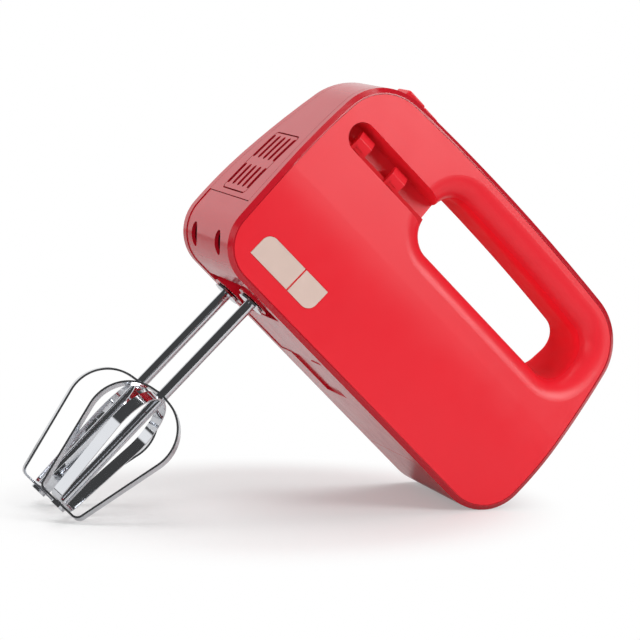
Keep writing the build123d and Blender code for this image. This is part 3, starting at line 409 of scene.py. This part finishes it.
# %% Surround
WHITE_SIDE = Vector((0.05, 0.97, 0.22)).normalized()
WHITE_START, WHITE_FULL = 0.68, 0.93  # cosines of the angle from the patch's middle
CARD_SIDE = Vector((-0.82, -0.49, 0.30)).normalized()
CARD_START, CARD_FULL = 0.955, 0.980  # cosines of the angle from the card's middle
DARK_LEVEL, WHITE_LEVEL, CARD_LEVEL = 0.06, 0.85, 1.0
FILL_STRENGTH = 0.38

world = bpy.data.worlds.new("studio_surround")
world.use_nodes = True
tree = world.node_tree
tree.nodes.clear()
bpy.context.scene.world = world
way = add_node(tree, "ShaderNodeTexCoord").outputs["Generated"]
facing = add_node(
    tree, "ShaderNodeVectorMath", {0: way, 1: tuple(WHITE_SIDE)}, operation="DOT_PRODUCT"
)
shade = add_node(
    tree,
    "ShaderNodeMapRange",
    {
        "Value": facing.outputs["Value"],
        "From Min": WHITE_START,
        "From Max": WHITE_FULL,
        "To Min": DARK_LEVEL,
        "To Max": WHITE_LEVEL,
    },
    interpolation_type="SMOOTHSTEP",
)
card_facing = add_node(
    tree, "ShaderNodeVectorMath", {0: way, 1: tuple(CARD_SIDE)}, operation="DOT_PRODUCT"
)
card = add_node(
    tree,
    "ShaderNodeMapRange",
    {
        "Value": card_facing.outputs["Value"],
        "From Min": CARD_START,
        "From Max": CARD_FULL,
        "To Max": CARD_LEVEL,
    },
    interpolation_type="SMOOTHSTEP",
)
both = add_node(
    tree,
    "ShaderNodeMath",
    {0: shade.outputs["Result"], 1: card.outputs["Result"]},
    operation="MAXIMUM",
)
path = add_node(tree, "ShaderNodeLightPath")
fill = add_node(tree, "ShaderNodeBackground", {"Color": linear("#FFFFFF"), "Strength": FILL_STRENGTH})
mirrored = add_node(
    tree, "ShaderNodeBackground", {"Color": linear("#FFFFFF"), "Strength": both.outputs["Value"]}
)
seen = add_node(tree, "ShaderNodeBackground", {"Color": linear("#FFFFFF"), "Strength": 1.0})
bounced = add_node(
    tree,
    "ShaderNodeMixShader",
    {0: path.outputs["Is Glossy Ray"], 1: fill.outputs[0], 2: mirrored.outputs[0]},
)
whole = add_node(
    tree,
    "ShaderNodeMixShader",
    {0: path.outputs["Is Camera Ray"], 1: bounced.outputs[0], 2: seen.outputs[0]},
)
add_node(tree, "ShaderNodeOutputWorld", {"Surface": whole.outputs[0]})
print("surround white towards", tuple(round(v, 2) for v in WHITE_SIDE))

# %% [markdown]
# The main soft lamp stands ahead and to the right. It lights the side that the camera sees, puts a
# broad highlight on the leaning upper half of the shell, and throws the shadow under the belly. A
# weaker lamp on the left fills the front of the mixer, and is kept out of reflections so that the
# chrome stays dark there. A wide lamp overhead lights the board and the top of the casing.

# %% Lamps
AIM = Vector((0.0, 0.0, 0.09))


def add_lamp(name, place, width, height, power):
    """A rectangular soft lamp at place that faces the mixer's middle."""
    lamp_data = bpy.data.lights.new(name, "AREA")
    lamp_data.shape = "RECTANGLE"
    lamp_data.size = width
    lamp_data.size_y = height
    lamp_data.energy = power
    lamp = bpy.data.objects.new(name, lamp_data)
    bpy.context.scene.collection.objects.link(lamp)
    lamp.location = place
    lamp.rotation_euler = (AIM - lamp.location).to_track_quat("-Z", "Y").to_euler()
    return lamp


add_lamp("key_softbox", Vector((1.40, -1.30, 1.00)), 1.0, 1.0, 24.0)
left_softbox = add_lamp("left_softbox", Vector((-1.30, -0.90, 0.50)), 1.0, 0.8, 12.0)
left_softbox.visible_glossy = False
add_lamp("top_softbox", Vector((-0.1, 0.35, 1.5)), 1.2, 0.9, 12.0)
bpy.context.scene.view_settings.view_transform = "Standard"
